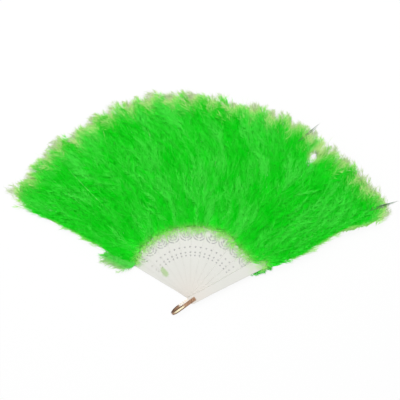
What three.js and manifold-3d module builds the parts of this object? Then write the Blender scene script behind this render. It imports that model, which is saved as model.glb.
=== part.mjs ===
import * as THREE from "three";
import { mergeVertices } from "three/addons/utils/BufferGeometryUtils.js";
import Module from "manifold-3d";

// A folding feather fan that lies open on its back, with the foot of its rivet on the origin.
// Lengths are in millimetres and angles in degrees. +Y runs up the middle of the open fan, and +Z
// points out of its front. The sticks lie one above the other on the rivet: the rear guard on the
// left is the lowest, and the front guard on the right is the highest.

// Fan
const innerStickCount = 10;
const innerSpacing = 12;
const endSpacing = 7.8;
const rearEndSteps = 2;
const frontEndSteps = 1;
const fanRadius = 284;

// Sticks and guards
const stickThickness = 1.1;
const guardThickness = 2;
const layerGap = 0.3;
const headRadius = 5.4;
const neckLength = 24;
const gorgeLength = 102;
const stickWidth = 23.5;
const guardWidth = 15;
const shoulderLength = 15;
const ribWidth = 8;
const ribTipWidth = 5;
const stickLength = 208;
const guardChamfer = 0.4;
const headSteps = 12;
const shoulderSteps = 5;
const ribTipSteps = 4;

// Piercing of an inner stick
const dotDrop = 33.7;
const upperDotRowSpacing = 7.2;
const lowerDotRowSpacing = 4.1;
const dotDiameter = 2;
const dotOffsetShare = 0.38;
const dotSteps = 8;
const scrollDrop = 16;
const scrollSlotWidth = 1.2;
const scrollRadiusShares = [0.5, 0.82];
const scrollEndAngles = [7, 66];
const scrollSteps = 6;
const petalLength = 4.2;
const petalWidth = 1.8;
const petalOffsetShare = 0.24;
const petalTilt = 14;
const petalSteps = 10;
const crownHoleDiameter = 2.2;
const crownHoleRise = 5.5;

// Rivet
const rivetRadius = 1.2;
const rivetClearance = 0.3;
const rivetFootRadius = 3.6;
const rivetFootThickness = 1;
const rivetHeadRadius = 2;
const rivetHeadThickness = 0.8;
const domeRadiusShare = 0.6;
const domeShoulderShare = 0.5;
const roundSteps = 24;

// Bail
const bailLength = 34.5;
const bailWidth = 5;
const bailTipWidth = 3.4;
const bailTaperPower = 3;
const bailThickness = 1.2;
const bailEndReach = 4.2;
const bailPalmLength = 15;
const bailAngle = 218;
const bailBendSteps = 13;
const boreOverrun = 1;

// Ribbon that stops the sticks when the fan is open
const ribbonOffset = 7;
const ribbonWidth = 6;
const ribbonThickness = 0.3;

// Plumes
const plumeStart = 93;
const frontGuardPlumeStart = 106;
const plumeGap = 0.4;
const frontPlumeHeight = 15;
const rearEdgeAngle = 3.6;
const frontEdgeAngle = 4.6;
const tuftAngle = 10;
const plumeBaseShares = [
  { along: 0, width: 0.4, height: 0.3 },
  { along: 0.45, width: 0.75, height: 0.6 },
  { along: 1, width: 0.95, height: 0.8 },
];
const plumeRunShares = [
  { along: 0, width: 1, height: 0.85 },
  { along: 0.3, width: 1, height: 1 },
  { along: 0.6, width: 1, height: 1 },
  { along: 0.85, width: 1, height: 0.75 },
  { along: 0.95, width: 0.86, height: 0.5 },
  { along: 1, width: 0.6, height: 0.25 },
];
// How far the plumes of each stick reach, from the rear guard to the front guard, as a share of the
// fan's radius
const reachShares = [
  0.99, 0.985, 0.985, 0.975, 0.985, 0.98, 0.965, 0.955, 0.965, 0.965, 0.985, 1,
];
const crownEdgeShare = 0.5;
const tipDropShare = 0.05;
const raggedShare = 0.025;
const raggedTurn = 137;
const backPlumeSteps = 4;
const frontPlumeSteps = 2;

const wasm = await Module();
wasm.setup();

// What follows from the sizes above
const stickCount = innerStickCount + 2;
const endSteps = rearEndSteps + frontEndSteps;
const openAngle = endSteps * endSpacing + (stickCount - 1 - endSteps) * innerSpacing;
const layerPitch = stickThickness + layerGap;
const pivotHoleRadius = rivetRadius + rivetClearance;
const shoulderEnd = gorgeLength + shoulderLength;
const ribbonRadius = shoulderEnd + ribbonOffset;
const bailBackBottom = rivetFootThickness + layerGap;
const rearGuardBottom = bailBackBottom + bailThickness + layerGap;
const firstStickBottom = rearGuardBottom + guardThickness + layerGap;
const frontGuardBottom = firstStickBottom + innerStickCount * layerPitch;
const bailFrontBottom = frontGuardBottom + guardThickness + layerGap;
const rivetHeadBottom = bailFrontBottom + bailThickness + layerGap;
const plumeLift = guardThickness + ribbonThickness + 2 * layerGap;
const plumeBaseEnd = ribbonRadius + ribbonWidth / 2 + layerGap;
const plumeSeatStart = plumeBaseEnd + plumeLift;

const deg = THREE.MathUtils.degToRad;

// Materials
const ivoryPlastic = new THREE.MeshStandardMaterial({ color: 0xe9e7df, roughness: 0.35, metalness: 0 });
const roseBrass = new THREE.MeshStandardMaterial({ color: 0xb98a5e, roughness: 0.28, metalness: 1 });
const whiteRibbon = new THREE.MeshStandardMaterial({ color: 0xeceae4, roughness: 0.6, metalness: 0 });
const greenPlume = new THREE.MeshStandardMaterial({ color: 0x1fc824, roughness: 0.9, metalness: 0 });

// Points along an arc, its two ends included
function arcPoints(centreX, centreY, radius, fromAngle, toAngle, steps) {
  const points = [];
  for (let i = 0; i <= steps; i += 1) {
    const angle = deg(fromAngle + ((toAngle - fromAngle) * i) / steps);
    points.push(new THREE.Vector2(centreX + radius * Math.cos(angle), centreY + radius * Math.sin(angle)));
  }
  return points;
}

function circlePoints(centreX, centreY, radius, steps) {
  return arcPoints(centreX, centreY, radius, 0, 360, steps).slice(0, steps);
}

function mirrored(points) {
  return points.map((point) => new THREE.Vector2(-point.x, point.y)).reverse();
}

// Half the width of a stick's neck, blade or rib at a distance from the rivet
function halfWidthAt(distance, fullWidth) {
  if (distance <= gorgeLength) {
    const along = Math.max(0, (distance - neckLength) / (gorgeLength - neckLength));
    return headRadius + (fullWidth / 2 - headRadius) * along;
  }
  if (distance <= shoulderEnd) {
    const ease = (1 - Math.cos((Math.PI * (distance - gorgeLength)) / shoulderLength)) / 2;
    return fullWidth / 2 + ((ribWidth - fullWidth) / 2) * ease;
  }
  const along = (distance - shoulderEnd) / (stickLength - shoulderEnd);
  return ribWidth / 2 + ((ribTipWidth - ribWidth) / 2) * along;
}

// Outline of a stick: a round head, a straight neck, a blade that widens, an ogee shoulder and a rib
// with a round tip
function stickShape(fullWidth) {
  const rightSide = [new THREE.Vector2(headRadius, neckLength)];
  for (let i = 0; i <= shoulderSteps; i += 1) {
    const distance = gorgeLength + (shoulderLength * i) / shoulderSteps;
    rightSide.push(new THREE.Vector2(halfWidthAt(distance, fullWidth), distance));
  }
  const tipRadius = ribTipWidth / 2;
  const tip = arcPoints(0, stickLength - tipRadius, tipRadius, 0, 180, ribTipSteps);
  const head = arcPoints(0, 0, headRadius, 180, 360, headSteps);
  const shape = new THREE.Shape([...head, ...rightSide, ...tip, ...mirrored(rightSide)]);
  shape.holes.push(new THREE.Path(circlePoints(0, 0, pivotHoleRadius, roundSteps)));
  return shape;
}

// Three rows of two small round holes
function dotHoles() {
  const upperRow = gorgeLength - dotDrop;
  const middleRow = upperRow - upperDotRowSpacing;
  const rows = [upperRow, middleRow, middleRow - lowerDotRowSpacing];
  return rows.flatMap((row) => {
    const offset = halfWidthAt(row, stickWidth) * dotOffsetShare;
    return [-offset, offset].map((x) => circlePoints(x, row, dotDiameter / 2, dotSteps));
  });
}

// Two nested pairs of curved slots that cup the petals
function scrollSlots() {
  const centre = gorgeLength - scrollDrop;
  const [endGap, reach] = scrollEndAngles;
  return scrollRadiusShares.flatMap((share) => {
    const radius = halfWidthAt(centre, stickWidth) * share;
    const side = (offset) =>
      arcPoints(0, centre, radius + offset, 270 + endGap, 270 + endGap + reach, scrollSteps);
    const slot = [...side(scrollSlotWidth / 2), ...side(-scrollSlotWidth / 2).reverse()];
    return [slot, mirrored(slot)];
  });
}

// A pair of leaning oval petals, with one round hole above them
function petalHoles() {
  const centre = gorgeLength - scrollDrop;
  const offset = halfWidthAt(centre, stickWidth) * petalOffsetShare;
  const petal = circlePoints(0, 0, petalLength / 2, petalSteps).map((point) => {
    const narrow = new THREE.Vector2((point.x * petalWidth) / petalLength, point.y);
    return narrow.rotateAround(new THREE.Vector2(), deg(-petalTilt)).add(new THREE.Vector2(offset, centre));
  });
  const crown = circlePoints(0, centre + crownHoleRise, crownHoleDiameter / 2, dotSteps);
  return [petal, mirrored(petal), crown];
}

function innerStick() {
  const shape = stickShape(stickWidth);
  for (const hole of [...dotHoles(), ...scrollSlots(), ...petalHoles()]) {
    shape.holes.push(new THREE.Path(hole));
  }
  return new THREE.ExtrudeGeometry(shape, { depth: stickThickness, bevelEnabled: false });
}

function guard() {
  return new THREE.ExtrudeGeometry(stickShape(guardWidth), {
    depth: guardThickness - 2 * guardChamfer,
    bevelThickness: guardChamfer,
    bevelSize: guardChamfer,
    bevelOffset: -guardChamfer,
    bevelSegments: 1,
  }).translate(0, 0, guardChamfer);
}

// One turned piece: a flat foot, the shank, and a domed head
function rivet() {
  const headTop = rivetHeadBottom + rivetHeadThickness;
  const profile = [
    [0, 0],
    [rivetFootRadius, 0],
    [rivetFootRadius, rivetFootThickness],
    [rivetRadius, rivetFootThickness],
    [rivetRadius, rivetHeadBottom],
    [rivetHeadRadius, rivetHeadBottom],
    [rivetHeadRadius, rivetHeadBottom + rivetHeadThickness * domeShoulderShare],
    [rivetHeadRadius * domeRadiusShare, headTop],
    [0, headTop],
  ];
  const points = profile.map(([radius, height]) => new THREE.Vector2(radius, height));
  return new THREE.LatheGeometry(points, roundSteps).rotateX(Math.PI / 2);
}

// Boolean joins and cuts
function toSolid(geometry) {
  const bare = geometry.clone().deleteAttribute("normal").deleteAttribute("uv");
  const merged = mergeVertices(bare.index ? bare.toNonIndexed() : bare);
  return new wasm.Manifold(
    new wasm.Mesh({
      numProp: 3,
      vertProperties: merged.attributes.position.array,
      triVerts: new Uint32Array(merged.index.array),
    }),
  );
}

function toGeometry(solid) {
  const mesh = solid.getMesh();
  const geometry = new THREE.BufferGeometry();
  geometry.setAttribute("position", new THREE.BufferAttribute(new Float32Array(mesh.vertProperties), 3));
  geometry.setIndex(new THREE.BufferAttribute(new Uint32Array(mesh.triVerts), 1));
  return geometry;
}

// A strap bent round the edge of the stack, with a flat palm at each end that the rivet goes through.
// It reaches along +X and gets narrower from the palms to the bend.
function bail() {
  const outerRadius = (bailFrontBottom + bailThickness - bailBackBottom) / 2;
  const innerRadius = outerRadius - bailThickness;
  const middle = bailBackBottom + outerRadius;
  const legLength = bailLength - outerRadius;
  const outer = arcPoints(legLength, middle, outerRadius, -90, 90, bailBendSteps);
  const inner = arcPoints(legLength, middle, innerRadius, 90, -90, bailBendSteps);
  const leg = (offset) => [
    new THREE.Vector2(bailPalmLength, middle + offset),
    new THREE.Vector2(-bailEndReach, middle + offset),
  ];
  const front = [...leg(outerRadius), ...leg(innerRadius).reverse()];
  const back = [...leg(-innerRadius), ...leg(-outerRadius).reverse()];
  const profile = new THREE.Shape([...outer, ...front, ...inner, ...back]);
  const strap = new THREE.ExtrudeGeometry(profile, { depth: bailWidth, bevelEnabled: false });
  strap.translate(0, 0, -bailWidth / 2).rotateX(Math.PI / 2);
  const corners = strap.attributes.position;
  for (let i = 0; i < corners.count; i += 1) {
    const along = Math.max(0, (corners.getX(i) - bailPalmLength) / (bailLength - bailPalmLength));
    const widthHere = THREE.MathUtils.lerp(bailWidth, bailTipWidth, along ** bailTaperPower);
    corners.setY(i, (corners.getY(i) * widthHere) / bailWidth);
  }
  const boreLength = rivetHeadBottom + 2 * boreOverrun;
  const bore = new THREE.CylinderGeometry(pivotHoleRadius, pivotHoleRadius, boreLength, roundSteps);
  bore.rotateX(Math.PI / 2).translate(0, 0, rivetHeadBottom / 2);
  return toGeometry(toSolid(strap).subtract(toSolid(bore)));
}

function layerOf(index) {
  if (index === 0) {
    return { bottom: rearGuardBottom, thickness: guardThickness };
  }
  if (index === stickCount - 1) {
    return { bottom: frontGuardBottom, thickness: guardThickness };
  }
  return { bottom: firstStickBottom + (index - 1) * layerPitch, thickness: stickThickness };
}

// A stick's angle from the middle of the open fan, to the left. The sticks next to the guards are set
// closer together than the others.
function angleOf(index) {
  if (index === stickCount - 1) {
    return -openAngle / 2;
  }
  const closeSteps = Math.min(index, rearEndSteps);
  return openAngle / 2 - closeSteps * endSpacing - (index - closeSteps) * innerSpacing;
}

// A guard's plumes and those of the stick next to the rear guard share narrow sectors
function hasOneFrontPlume(index) {
  return index <= 1 || index === stickCount - 1;
}

// The stretch of ribbon from one stick to the next one on its right, on top of both ribs
function ribbonLink(index) {
  const left = layerOf(index);
  const right = layerOf(index + 1);
  const halfTurn = deg((angleOf(index) - angleOf(index + 1)) / 2);
  const chordDistance = ribbonRadius * Math.cos(halfTurn);
  const halfLength = (chordDistance - ribbonWidth / 2) * Math.tan(halfTurn) - layerGap / 2;
  const restLength = halfWidthAt(ribbonRadius, stickWidth) + layerGap;
  const low = left.bottom + left.thickness + layerGap;
  const high = right.bottom + right.thickness + layerGap;
  const path = [
    [-halfLength, low],
    [-halfLength + restLength, low],
    [halfLength - restLength, high],
    [halfLength, high],
  ];
  const under = path.map(([x, z]) => new THREE.Vector2(x, z));
  const over = path.map(([x, z]) => new THREE.Vector2(x, z + ribbonThickness)).reverse();
  const strip = new THREE.ExtrudeGeometry(new THREE.Shape([...under, ...over]), {
    depth: ribbonWidth,
    bevelEnabled: false,
  });
  return strip.rotateX(Math.PI / 2).translate(0, chordDistance + ribbonWidth / 2, 0);
}

// A closed body between two grids of points with the same rows and columns
function gridSolid(upper, lower) {
  const rows = upper.length;
  const columns = upper[0].length;
  const positions = [...upper.flat(), ...lower.flat()].flatMap((point) => point.toArray());
  const at = (layer, row, column) => layer * rows * columns + row * columns + column;
  const indices = [];
  const quad = (a, b, c, d) => indices.push(a, b, c, a, c, d);
  for (let row = 0; row + 1 < rows; row += 1) {
    for (let column = 0; column + 1 < columns; column += 1) {
      const corners = [
        [row, column],
        [row, column + 1],
        [row + 1, column + 1],
        [row + 1, column],
      ];
      quad(...corners.map(([r, c]) => at(0, r, c)));
      quad(...corners.reverse().map(([r, c]) => at(1, r, c)));
    }
    quad(at(0, row, 0), at(0, row + 1, 0), at(1, row + 1, 0), at(1, row, 0));
    const last = columns - 1;
    quad(at(1, row, last), at(1, row + 1, last), at(0, row + 1, last), at(0, row, last));
  }
  for (let column = 0; column + 1 < columns; column += 1) {
    const last = rows - 1;
    quad(at(0, 0, column + 1), at(0, 0, column), at(1, 0, column), at(1, 0, column + 1));
    quad(at(0, last, column), at(0, last, column + 1), at(1, last, column + 1), at(1, last, column));
  }
  const geometry = new THREE.BufferGeometry();
  geometry.setAttribute("position", new THREE.Float32BufferAttribute(positions, 3));
  geometry.setIndex(indices);
  return geometry;
}

// The rows of a stick's plume, from its base over the blade to its tip. The base is lifted clear of the
// neighbouring blades and the ribbon, and the run beyond the ribbon lies against its own rib.
function plumeRows(index) {
  const start = index === stickCount - 1 ? frontGuardPlumeStart : plumeStart;
  const reach = fanRadius * reachShares[index];
  const base = plumeBaseShares.map((row) => ({
    ...row,
    radius: start + (plumeBaseEnd - start) * row.along,
    clearance: plumeLift,
    isBase: true,
  }));
  const run = plumeRunShares.map((row) => ({
    ...row,
    radius: plumeSeatStart + (reach - plumeSeatStart) * row.along,
    clearance: layerGap,
    isBase: false,
  }));
  return [...base, ...run];
}

// Where a plume's grid point lies in plan, at a share of the way from the plume's left edge to its
// right one. The base narrows towards the stick and the tip towards the plume's own middle. The tip
// is round, and each plume has its own length.
function plumePoint(row, share, plume, height) {
  const ragged = (1 + Math.sin(deg(plume.number * raggedTurn))) / 2;
  const shortening = tipDropShare * (2 * share - 1) ** 2 + raggedShare * ragged;
  const radius = row.radius - Math.max(0, row.radius - plumeSeatStart) * shortening;
  const [left, right] = plume.edges(row);
  const root = row.isBase ? 0 : (left + right) / 2;
  const gapAngle = plumeGap / 2 / radius;
  const from = root + (left - root) * row.width + gapAngle;
  const to = root + (right - root) * row.width - gapAngle;
  const angle = THREE.MathUtils.lerp(from, to, share);
  return new THREE.Vector3(radius * Math.sin(angle), radius * Math.cos(angle), height);
}

// The two faces of a plume, each as a height at a row and at a share of the way across
function plumeSolid(plume, steps, topOf, bottomOf) {
  const shares = Array.from({ length: steps + 1 }, (_, i) => i / steps);
  const rows = plumeRows(plume.stick);
  const grid = (heightOf) =>
    rows.map((row) => shares.map((share) => plumePoint(row, share, plume, heightOf(row, share))));
  return gridSolid(grid(topOf), grid(bottomOf));
}

// How high a plume's rounded crown is across its width, as a share of its height in the middle
function crownAt(share) {
  return crownEdgeShare + (1 - crownEdgeShare) * Math.sin(Math.PI * share);
}

// The left and right edges of a stick's sector, each half way to its neighbour. The outer edge of a
// guard's plumes has its own place, and the rear guard has a tuft at its base.
function sectorEdges(index, row) {
  const angle = angleOf(index);
  const outerLeft = row.isBase ? tuftAngle : rearEdgeAngle;
  const left = index === 0 ? outerLeft : (angleOf(index - 1) - angle) / 2;
  const right = index === stickCount - 1 ? frontEdgeAngle : (angle - angleOf(index + 1)) / 2;
  return [-deg(left), deg(right)];
}

// A plume on a stick's front, which fills its sector or one side of it
function frontPlume(index, side) {
  const layer = layerOf(index);
  const seat = layer.bottom + layer.thickness;
  const plume = {
    stick: index,
    number: 2 * index + (side === "right" ? 1 : 0),
    edges: (row) => {
      const [left, right] = sectorEdges(index, row);
      return [side === "right" ? 0 : left, side === "left" ? 0 : right];
    },
  };
  const bottomOf = (row) => seat + row.clearance;
  const topOf = (row, share) => bottomOf(row) + frontPlumeHeight * row.height * crownAt(share);
  return plumeSolid(plume, frontPlumeSteps, topOf, bottomOf);
}

// The back plume fills the space from its stick down to the surface that the fan lies on
function backPlume(index) {
  const seat = layerOf(index).bottom;
  const plume = { stick: index, number: index, edges: (row) => sectorEdges(index, row) };
  const topOf = (row) => seat - (index === 0 ? layerGap : row.clearance);
  const bottomOf = (row, share) => {
    const fullness = row.height * (crownAt(share) + row.height / 2);
    return topOf(row) * (1 - Math.min(1, fullness));
  };
  return plumeSolid(plume, backPlumeSteps, topOf, bottomOf);
}

// Assembly
const fan = new THREE.Group();

function addMesh(name, geometry, material, angle, height) {
  const mesh = new THREE.Mesh(geometry, material.clone());
  mesh.name = name;
  mesh.position.z = height;
  mesh.rotation.z = deg(angle);
  fan.add(mesh);
}

function nameOf(index) {
  if (index === 0) {
    return "rear_guard";
  }
  return index === stickCount - 1 ? "front_guard" : `stick_${index}`;
}

for (let index = 0; index < stickCount; index += 1) {
  const isGuard = index === 0 || index === stickCount - 1;
  const name = nameOf(index);
  const angle = angleOf(index);
  addMesh(name, isGuard ? guard() : innerStick(), ivoryPlastic, angle, layerOf(index).bottom);
  for (const side of hasOneFrontPlume(index) ? ["front"] : ["left", "right"]) {
    addMesh(`${name}_${side}_plume`, frontPlume(index, side), greenPlume, angle, 0);
  }
  addMesh(`${name}_back_plume`, backPlume(index), greenPlume, angle, 0);
}
for (let index = 0; index + 1 < stickCount; index += 1) {
  const middleAngle = (angleOf(index) + angleOf(index + 1)) / 2;
  addMesh(`ribbon_link_${index + 1}`, ribbonLink(index), whiteRibbon, middleAngle, 0);
}
addMesh("rivet", rivet(), roseBrass, 0, 0);
addMesh("bail", bail(), roseBrass, bailAngle, 0);

export default fan;
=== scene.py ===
import math

import bpy
import numpy as np
from bpy.props import FloatProperty, FloatVectorProperty, IntProperty, PointerProperty
from mathutils import Matrix, Vector


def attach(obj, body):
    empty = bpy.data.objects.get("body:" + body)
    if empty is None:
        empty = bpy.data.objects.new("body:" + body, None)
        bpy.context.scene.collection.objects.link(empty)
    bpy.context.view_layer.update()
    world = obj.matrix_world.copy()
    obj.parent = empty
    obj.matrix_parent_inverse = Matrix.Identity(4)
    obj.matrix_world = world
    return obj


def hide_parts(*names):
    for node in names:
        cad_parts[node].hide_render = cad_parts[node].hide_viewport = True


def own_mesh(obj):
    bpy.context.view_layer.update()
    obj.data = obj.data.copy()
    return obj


bl_info = {
    "name": "Feather fan",
    "version": (1, 0, 0),
    "blender": (4, 5, 0),
    "location": "3D View > Sidebar > Feather Fan",
    "description": "Dresses a folding fan's pierced sticks with marabou plumes, a ribbon and brass fittings",
    "category": "Object",
}

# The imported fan. Everything here is in metres, in its frame: +Y runs up the middle of the open fan and +Z
# out of its front.
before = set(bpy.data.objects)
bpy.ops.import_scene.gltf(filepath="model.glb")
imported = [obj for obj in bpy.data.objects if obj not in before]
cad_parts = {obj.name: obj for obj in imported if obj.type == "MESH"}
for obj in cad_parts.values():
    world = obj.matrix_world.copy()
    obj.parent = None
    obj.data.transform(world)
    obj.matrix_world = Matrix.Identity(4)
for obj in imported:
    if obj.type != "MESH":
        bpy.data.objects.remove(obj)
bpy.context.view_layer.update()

MM = 0.001
FRONT, BACK = 1, -1
# Half of the open fan's angle
OPEN_HALF = math.radians(59.7)

# Second tones of the finishes
FLOW_MARKS = (0.585, 0.58, 0.54)
SMEAR_GREEN = (0.29, 0.48, 0.15)
SHADED_WEAVE = (0.62, 0.63, 0.60)
LIGHT_SHAFT = (0.09, 0.22, 0.07)
PAPER_GRAIN = (0.7, 0.7, 0.7)
# A scale that leaves height out of a distance
FLATTEN = 1000
# Distances from the rivet over which the plastic loses its warm tone
WARM_ZONE = (0.0, 0.05)
# The smear of dye on the sticks: its place, direction in degrees, half length and half width
SMEAR_PLACE = (-0.0393, 0.0326, 0.0)
SMEAR_TURN = 126
SMEAR_SIZE = (0.0085, 0.004, FLATTEN)
# Where the bail's painted highlights and the painted shade at its rims change: along it from the rivet,
# aside from its middle line, and above the floor
LOOP_START = (0.011, 0.016)
LOOP_BEND = (0.026, 0.031)
BACK_LEG_END = (0.020, 0.024)
PAINTED_RIM_SHADE = (0.0009, 0.0016)
PAINTED_HIGHLIGHT_WIDTH = (0.0008, 0.0014)
FRONT_LEG_HEIGHT = (0.012, 0.017)
BACK_LEG_HEIGHT = (0.006, 0.008)
# Threads across one stretch of ribbon and along it
THREADS = (("X", 60.0), ("Y", 16.0))
BUMP_DEPTH = 0.0001

# Angles in degrees from which edges are rounded, and the one up to which the ribbon is shaded smooth
STICK_EDGE, RIBBON_EDGE, RIBBON_SMOOTH = 40, 60, 40
WELD_DISTANCE = 0.002 * MM
# Rows of faces across the ribbon, the part of a stretch that rises from stick to stick, and its rounded
# edges by its thickness
RIBBON_ROWS = 4
RIBBON_SLOPE = 0.56
RIBBON_ROUND = 0.3

# A strand has three sides. A long one has rings at these shares of its length, and the last is its tip.
SIDES = 3
RING_PLACES = np.array([0.0, 0.36, 0.7, 1.0])
# The last ring's thickness before the tip, as a share of the root's
TIP_THICKNESS = 0.55
# The power by which strands rise fast and level out, and what is left of their way past the plume's edge
RISE_POWER, OVERSHOOT = 1.7, 0.3
# How far the down's sides turn from the guards' plumes, in degrees, at distances from the rivet
LEFT_SWELL = ((0.11, 0.21, 0.23, 0.25, 0.268), (0.6, 0.6, 1.8, 1.8, -1.0))
RIGHT_SWELL = (
    (0.09, 0.15, 0.18, 0.2, 0.225, 0.24, 0.262, 0.272),
    (-1.4, -1.4, 0.4, 1.2, 1.2, 0.0, -0.6, -1.8),
)
# Lobes of the down past the edge: their middle and half width in degrees, and the extra reach
LOBES = ((150.6, 0.9, 0.009), (25.6, 2.0, 0.008))
# Bare shafts past the edge: the plume, their ends' angle in degrees and distance, and their lean in degrees
STRAY_SHAFTS = {
    "stick_8_right_plume": (56.2, 0.284, -17),
    "front_guard_front_plume": (28.0, 0.296, -12),
}
SHAFTS = 4
# A small gap between two plumes, with a pale streak from it out to the edge: its middle, its radius and the
# strands' own shares of that, and the streak's length and width
NOTCH = (0.1508, 0.1935)
NOTCH_RADIUS = 0.0078
NOTCH_RAGGED = (0.6, 1.05)
STREAK_LENGTH = 0.03
STREAK_WIDTH = 0.009
# The lean as a share of the usual one, at distances from the rivet and at angles in degrees
LEAN_ALONG = ((0.11, 0.17, 0.205, 0.24), (0.1, 0.35, 1.1, 1.35))
LEAN_ROUND = ((30, 52, 66, 85, 112, 130, 150), (0.8, 0.5, 1.2, 1.3, 1.0, 0.6, 0.35))
# How far the down reaches in past the plumes' feet, at angles in degrees
FOOT_ROUND = ((30, 38, 50, 60, 100, 140, 151), (0.001, 0.001, 0.004, -0.002, 0.0, -0.001, 0.005))
# A plume's sector is measured past its narrow foot
FOOT_LENGTH = 0.055
# The down's middle and edge, from the rivet
DOWN_MIDDLE, DOWN_EDGE = 0.19, 0.27
# How far the down reaches past its solid, the shares of its reach that it loses at the plume's sides and in
# the shortest clump, the power that makes short clumps rare, and how much a clump falls back at its sides
EDGE_PAST = 0.005
EDGE_FALL = 0.034
CLUMP_DIP, CLUMP_POWER = 0.035, 1.5
CLUMP_ROUND = 0.005
# The distances over which the down rises from its foot and sinks to its edge, its height at each end, and
# the power of the fall
CROWN_RISE = (0.03, 0.3)
CROWN_FALL = (0.055, 0.35, 0.7)
# Seeds, and the number of cells after which the broad waves repeat
BEND_SEED, LIGHT_SEED, PLUME_SEED, SEED_STEP = 5, 9, 4100, 17
FIELD_CELLS = 64

# The kinds of strand. across is a share of the sector's half width, reach a range of shares of the usual
# length, low and high a height and a range of shares of the room above it, dye a mean and a deviation, and
# turn, sway and ragged are deviations in degrees.
BARBS = {
    "across": 1.1, "reach": (0.6, 1.35), "low": (0.0006, (0.1, 0.45)), "high": (0.0008, (0.6, 1.0)),
    "turn": 12, "curl": -0.2, "sway": 10, "ragged": 1.3, "dye": (0.33, 0.2),
    # Nearest tips, the share that ends near the edge, and the power that thins out the rest
    "first_tip": 0.018, "at_edge": 0.36, "near_edge": (0.95, 1.0), "power": 0.72, "root_depth": 0.003,
    # What each plume adds, and what the waves and the place across it add, in degrees and as shares. What
    # the waves add to the dye is painted light, which makes their higher parts brighter.
    "plume_turn": 4, "wave_turn": 22, "side_turn": 8, "wave_rise": 0.12, "wave_light": 1.1, "plume_dye": 0.08,
    "rise_limits": (0.5, 1.05),
}
# Low strands that fill the whole sector evenly, so that nothing shows through it
COVER = {
    "across": 1.2, "reach": (0.5, 0.95), "low": (0.0004, (0.0, 0.2)), "high": (0.0006, (0.15, 0.55)),
    "turn": 20, "curl": 0.5, "sway": 8, "ragged": 1.0, "dye": (0.15, 0.13), "ahead": 0.0,
    "at_foot": 0.14, "end": 0.026, "power": 0.75, "past_side": 0.0, "past_edge": -0.005,
}
# Long single strands that stand off the surface and past the edges
STRAYS = {
    "across": 1.1, "reach": (0.6, 1.3), "low": (0.0006, (0.4, 0.8)), "high": (0.001, (0.8, 1.2)),
    "turn": 24, "curl": 0.3, "sway": 14, "ragged": 1.0, "dye": (0.6, 0.4), "ahead": 0.5,
    "at_foot": 0, "end": 0.024, "power": 0.7, "past_side": 0.006, "past_edge": 0.003,
}
STRAY_START = 0.006
# What the cover's share at the foot has of the usual reach, distance and turn
FOOT_REACH, FOOT_PLACE, FOOT_TURN = 0.45, 0.1, 2.6
# Barbules: their places along a barb, their spread and step as shares of the usual, how much of each is lost
# by the barb's tip, how far they bend back, and how they rise
BARBULES = {
    "along": (0.03, 1.0), "spread": (0.4, 1.4), "spread_loss": 0.2, "step": (0.3, 0.65), "step_loss": 0.42,
    "bend": 0.45, "rise": (0.0001, 0.0004), "dye": 0.06,
}
# Short pale strands at the foot, in a few tufts that lie back over the pierced blades
FLUFF = {
    "tufts": 4, "tuft_reach": (0.003, 0.016), "reach": (0.5, 1.3), "start": (-0.001, 0.004), "spread": 0.012,
    "lean": (180, 38), "low": (0.0004, 0.003), "high": (0.001, 0.005), "curl": 0.25, "sway": 25,
    "ragged": 0.5, "dye": 0.9,
}
FLUFF_PALE = 0.6
# Where down turns pale or dull: along the fan's sides, at the plume's edge, which lies further in at the
# plume's sides, and at its foot. Widths are distances over which it does.
RIM_PALE, RIM_WIDTH, RIM_START, RIM_GROWTH = (0.9, 0.6), 0.0045, 0.13, 0.015
PALE_EDGE, PALE_SIDES, PALE_RAGGED, PALE_WIDTH, PALE_POWER = 0.023, 0.011, 0.005, 0.024, 2.3
PALE_FOOT, FOOT_WIDTH, FOOT_SHARE = 0.008, 0.012, 0.5
STREAK_PALE = (1.3, 0.9)
DULL_WIDTH, DULL_MOST = 0.008, 0.7
# Each kind's thickness as a share of a barb's, and each strand's as a share of that
THICKNESS = {
    "barbules": 1.0, "barbs": 0.8, "cover": 1.9, "strays": 0.6, "fluff": 0.5, "tuft": 0.9, "shafts": 2.1
}
OWN_THICKNESS = (0.65, 1.2)
DOWN_SLOT, QUILL_SLOT, SHAFT_SLOT = 0, 1, 2
# How many strands of each other kind there are for a barb
COUNTS = {
    FRONT: {"cover": 13, "strays": 0.5, "fluff": 0.6},
    BACK: {"cover": 12, "strays": 0.5, "fluff": 0},
}
# Tufts at two plumes' feet that stand out past the guards: from which side of the plume and how far past it,
# where they begin, the side that they turn to, their usual reach, and their heights above the stick
TUFTS = {
    "rear_guard_front_plume": {
        "seed": 77, "count": 110, "edge": "left", "past": 0.014, "begin": (0.087, 0.118), "outward": 1.0,
        "reach": 0.022, "heights": (0.002, 0.008),
    },
    "front_guard_back_plume": {
        "seed": 78, "count": 28, "edge": "right", "past": 0.01, "begin": (0.078, 0.104), "outward": -1.0,
        "reach": 0.011, "heights": (0.0012, 0.004),
    },
}
# All tufts: how far in they begin and how far they may turn past the left side of their plume's foot, in
# radians, their barbules' length as a share of the usual, where they turn pale, and how dull that is
TUFT = {
    "inset": 0.06, "past_foot": 0.074, "lean": (50, 12), "reach": (0.6, 1.2), "curl": 0.5, "sway": 9,
    "dye": (0.3, 0.2), "barbule": 0.6, "pale_start": 0.005, "pale_width": 0.018, "pale_most": 0.6,
    "dull": (0.15, 0.6),
}
# Bare shafts: their lengths, how much nearer the last one ends and the power of that, how far their angles
# spread in degrees, and their rise as a share of the plume's height
SHAFT_LENGTH = (0.03, 0.042)
SHAFT_STEP, SHAFT_POWER, SHAFT_SPREAD, SHAFT_RISE = 0.011, 1.5, 0.1, 0.3
# A quill: how far past the plume's foot it begins, how much shorter it is, its bend in degrees, its height
# at the root in metres, and a range of shares of the plume's height at its tip
QUILL = {"start": 0.004, "shorter": 0.03, "bend": 1.0, "root": 0.0012, "tip": (0.15, 0.5), "curl": 1.6}

FLOOR_SIZE = 20.0
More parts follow.
